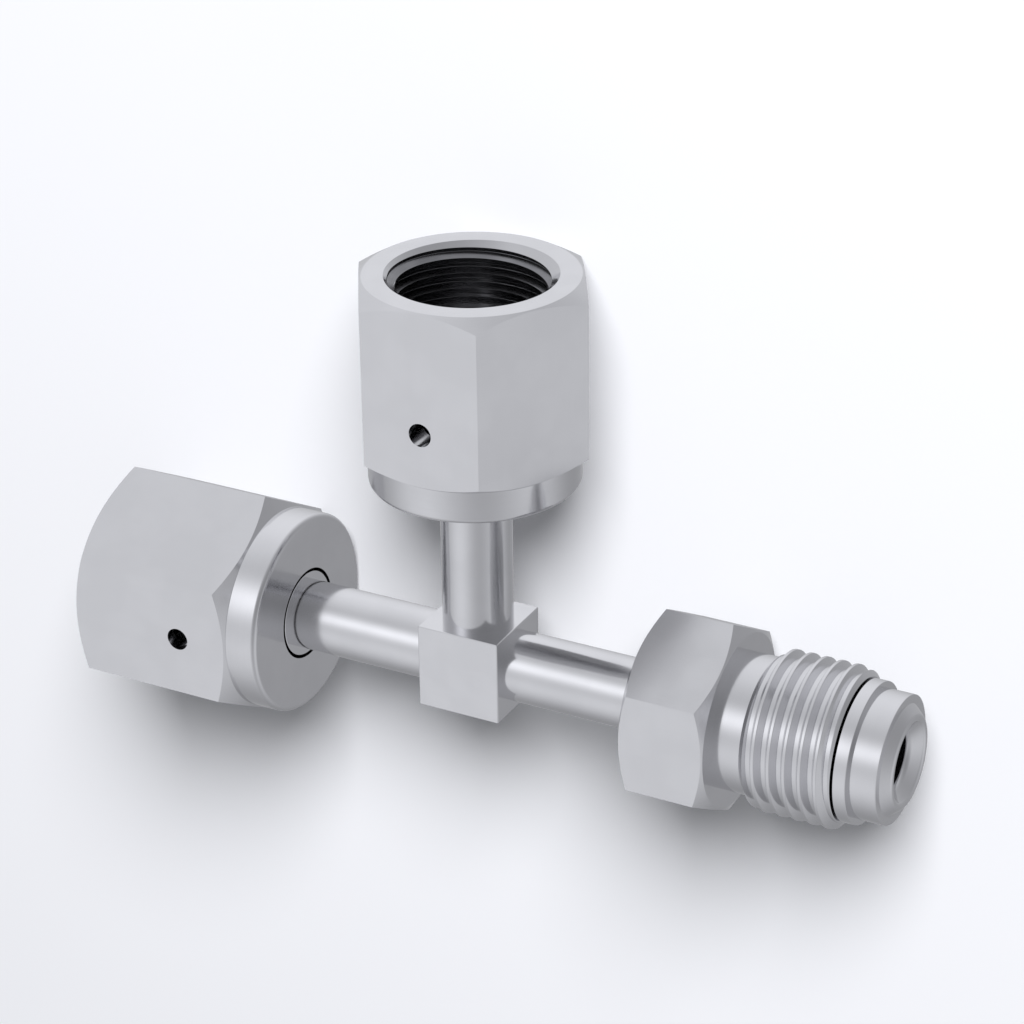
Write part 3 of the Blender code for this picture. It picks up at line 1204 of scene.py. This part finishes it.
@dataclass(frozen=True)
class Studio:
    """The floor, the sky, the key light and the camera.

    Attributes:
        floor_height: Height of the floor, on which the female nuts rest.
        floor_side: Side of the floor.
        eye: Where the camera stands.
        aim: What the middle of its image shows.
        roll: How far it leans, in degrees.
        focal_length: In pixels of the image.
    """

    SKY_COLOUR: ClassVar[tuple[float, float, float]] = (0.98, 0.99, 1.03)
    SKY_BRIGHTNESS: ClassVar[float] = 0.25
    FILL_BRIGHTNESS: ClassVar[float] = 0.23
    BACKDROP_BRIGHTNESS: ClassVar[float] = 0.92
    TOP_BOX: ClassVar[SoftBox] = SoftBox((0, 0, 1), 3.0, 0.58)
    RUN_BOX: ClassVar[SoftBox] = SoftBox((0, sqrt(3), 1), 3.0, 0.4)
    BRANCH_BOX: ClassVar[SoftBox] = SoftBox((sqrt(3), 0, 1), 4.0, 0.45)
    END_BOX: ClassVar[SoftBox] = SoftBox((0, 1, 0), 3.0, 0.6)
    STREAK_BOX: ClassVar[SoftBox] = SoftBox((0, 1, sqrt(3)), 20.0, 0.8)
    KEY_AZIMUTH: ClassVar[float] = 68
    KEY_ELEVATION: ClassVar[float] = 38
    KEY_POWER: ClassVar[float] = 17.6
    KEY_DISTANCE: ClassVar[float] = 1100
    KEY_SIZE: ClassVar[float] = 620
    KEY_COLOUR: ClassVar[tuple[float, float, float]] = (0.98, 0.985, 1.015)
    FLOOR_SHADE: ClassVar[tuple[float, float, float]] = (0.87, 0.875, 0.89)
    FLOOR_COLOUR: ClassVar[tuple[float, float, float]] = (0.89, 0.895, 0.91)

    floor_height: float = -5.556
    floor_side: float = 300.0
    eye: tuple[float, float, float] = (119.983, 140.336, 222.475)
    aim: tuple[float, float, float] = (3.531, 15.128, 3.97)
    roll: float = 0.789
    focal_length: float = 3203.38

    def add_floor(self) -> bpy.types.Object:
        """Lay the plain pale floor, which the steel doesn't mirror.

        Returns:
            The floor.
        """
        work = bmesh.new()
        half = self.floor_side / 2 * MM
        level = self.floor_height * MM
        corners = [(-half, -half), (half, -half), (half, half), (-half, half)]
        work.faces.new([work.verts.new((x, y, level)) for x, y in corners])
        mesh = bpy.data.meshes.new("studio_floor")
        work.to_mesh(mesh)
        work.free()
        material = bpy.data.materials.new("pale_floor")
        material.use_nodes = True
        tree = Tree(material.node_tree)
        place = tree.add("ShaderNodeTexCoord").outputs["Object"]
        haze = tree.add("ShaderNodeTexNoise", {"Vector": place, "Scale": 12.0, "Detail": 1.0}).outputs[0]
        colour = tree.blend_colour(haze, (*self.FLOOR_SHADE, 1.0), (*self.FLOOR_COLOUR, 1.0))
        shader = tree.add(
            "ShaderNodeBsdfPrincipled", {"Base Color": colour, "Roughness": 0.9, "Specular IOR Level": 0.0}
        )
        tree.add("ShaderNodeOutputMaterial", {0: shader.outputs[0]})
        mesh.materials.append(material)
        floor = bpy.data.objects.new("studio_floor", mesh)
        bpy.context.scene.collection.objects.link(floor)
        floor.visible_glossy = False
        return floor

    def add_sky(self) -> bpy.types.World:
        """Build the soft light that surrounds the tee.

        The steel mirrors five soft boxes in a dimmer room. Four are hung for flat faces, and a narrower one
        draws a streak along the round parts of the run. The floor gets a dimmer, even light, and the camera
        sees a plain pale backdrop past the floor.

        Returns:
            The world.
        """
        world = bpy.data.worlds.new("studio_sky")
        world.use_nodes = True
        tree = Tree(world.node_tree)
        place = tree.add("ShaderNodeTexCoord").outputs["Generated"]
        view = (Vector(self.eye) - Vector(self.aim)).normalized()
        mirrored = self.SKY_BRIGHTNESS
        for box in (self.TOP_BOX, self.RUN_BOX, self.BRANCH_BOX, self.END_BOX, self.STREAK_BOX):
            mirrored = tree.math("ADD", mirrored, box.add_to(tree, place, view))
        rays = tree.add("ShaderNodeLightPath").outputs
        seen = tree.blend(rays["Is Diffuse Ray"], mirrored, self.FILL_BRIGHTNESS)
        seen = tree.blend(rays["Is Camera Ray"], seen, self.BACKDROP_BRIGHTNESS)
        light = tree.add("ShaderNodeBackground", {"Color": (*self.SKY_COLOUR, 1.0), "Strength": seen})
        tree.add("ShaderNodeOutputWorld", {0: light.outputs[0]})
        bpy.context.scene.world = world
        return world

    def add_key_light(self) -> bpy.types.Object:
        """Hang the large soft light that lights the floor and casts the shadows.

        Returns:
            The light.
        """
        data = bpy.data.lights.new("key_light", "AREA")
        data.shape = "DISK"
        data.size = self.KEY_SIZE * MM
        data.energy = self.KEY_POWER
        data.color = self.KEY_COLOUR
        light = bpy.data.objects.new("key_light", data)
        bpy.context.scene.collection.objects.link(light)
        heading = Matrix.Rotation(radians(self.KEY_AZIMUTH), 3, "Z")
        towards = heading @ Matrix.Rotation(radians(-self.KEY_ELEVATION), 3, "Y") @ Vector((1, 0, 0))
        light.location = towards * self.KEY_DISTANCE * MM
        light.rotation_euler = towards.to_track_quat("Z", "Y").to_euler()
        light.visible_glossy = False
        return light

    def add_camera(self) -> bpy.types.Object:
        """Set the camera where the photograph was taken from.

        Returns:
            The camera.
        """
        data = bpy.data.cameras.new("camera")
        data.lens = self.focal_length / IMAGE_SIDE * data.sensor_width
        data.clip_start = 0.01
        camera = bpy.data.objects.new("camera", data)
        bpy.context.scene.collection.objects.link(camera)
        back = (Vector(self.eye) - Vector(self.aim)).normalized()
        side = Vector((0, 1, 0)).cross(back).normalized()
        upright = back.cross(side)
        lean = radians(self.roll)
        right = side * cos(lean) - upright * sin(lean)
        camera.matrix_world = Matrix.Translation(Vector(self.eye) * MM) @ Matrix(
            (right, back.cross(right), back)
        ).transposed().to_4x4()
        bpy.context.scene.camera = camera
        return camera

    def build(self) -> None:
        """Set the studio up."""
        self.add_floor()
        self.add_sky()
        self.add_key_light()
        self.add_camera()
        bpy.context.scene.view_settings.view_transform = "Standard"


def main() -> None:
    """Build the pieces in order, then the studio."""
    logging.basicConfig(level=logging.INFO, format="%(name)s: %(message)s")
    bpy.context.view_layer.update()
    pieces = (
        TeeBody(),
        Gland(Arm.RUN_LEFT, "run_female_gland", FemaleNut.REAR, 21.93),
        Gland(Arm.BRANCH, "branch_female_gland", FemaleNut.REAR, 21.93),
        Gland(Arm.RUN_RIGHT, "run_male_gland", MaleNut.REAR, 36.55),
        FemaleNut(Arm.RUN_LEFT, "run_female_nut"),
        FemaleNut(Arm.BRANCH, "branch_female_nut"),
        MaleNut(Arm.RUN_RIGHT, "run_male_nut"),
    )
    for piece in pieces:
        piece.build()
    Studio().build()


if __name__ == "__main__":
    main()
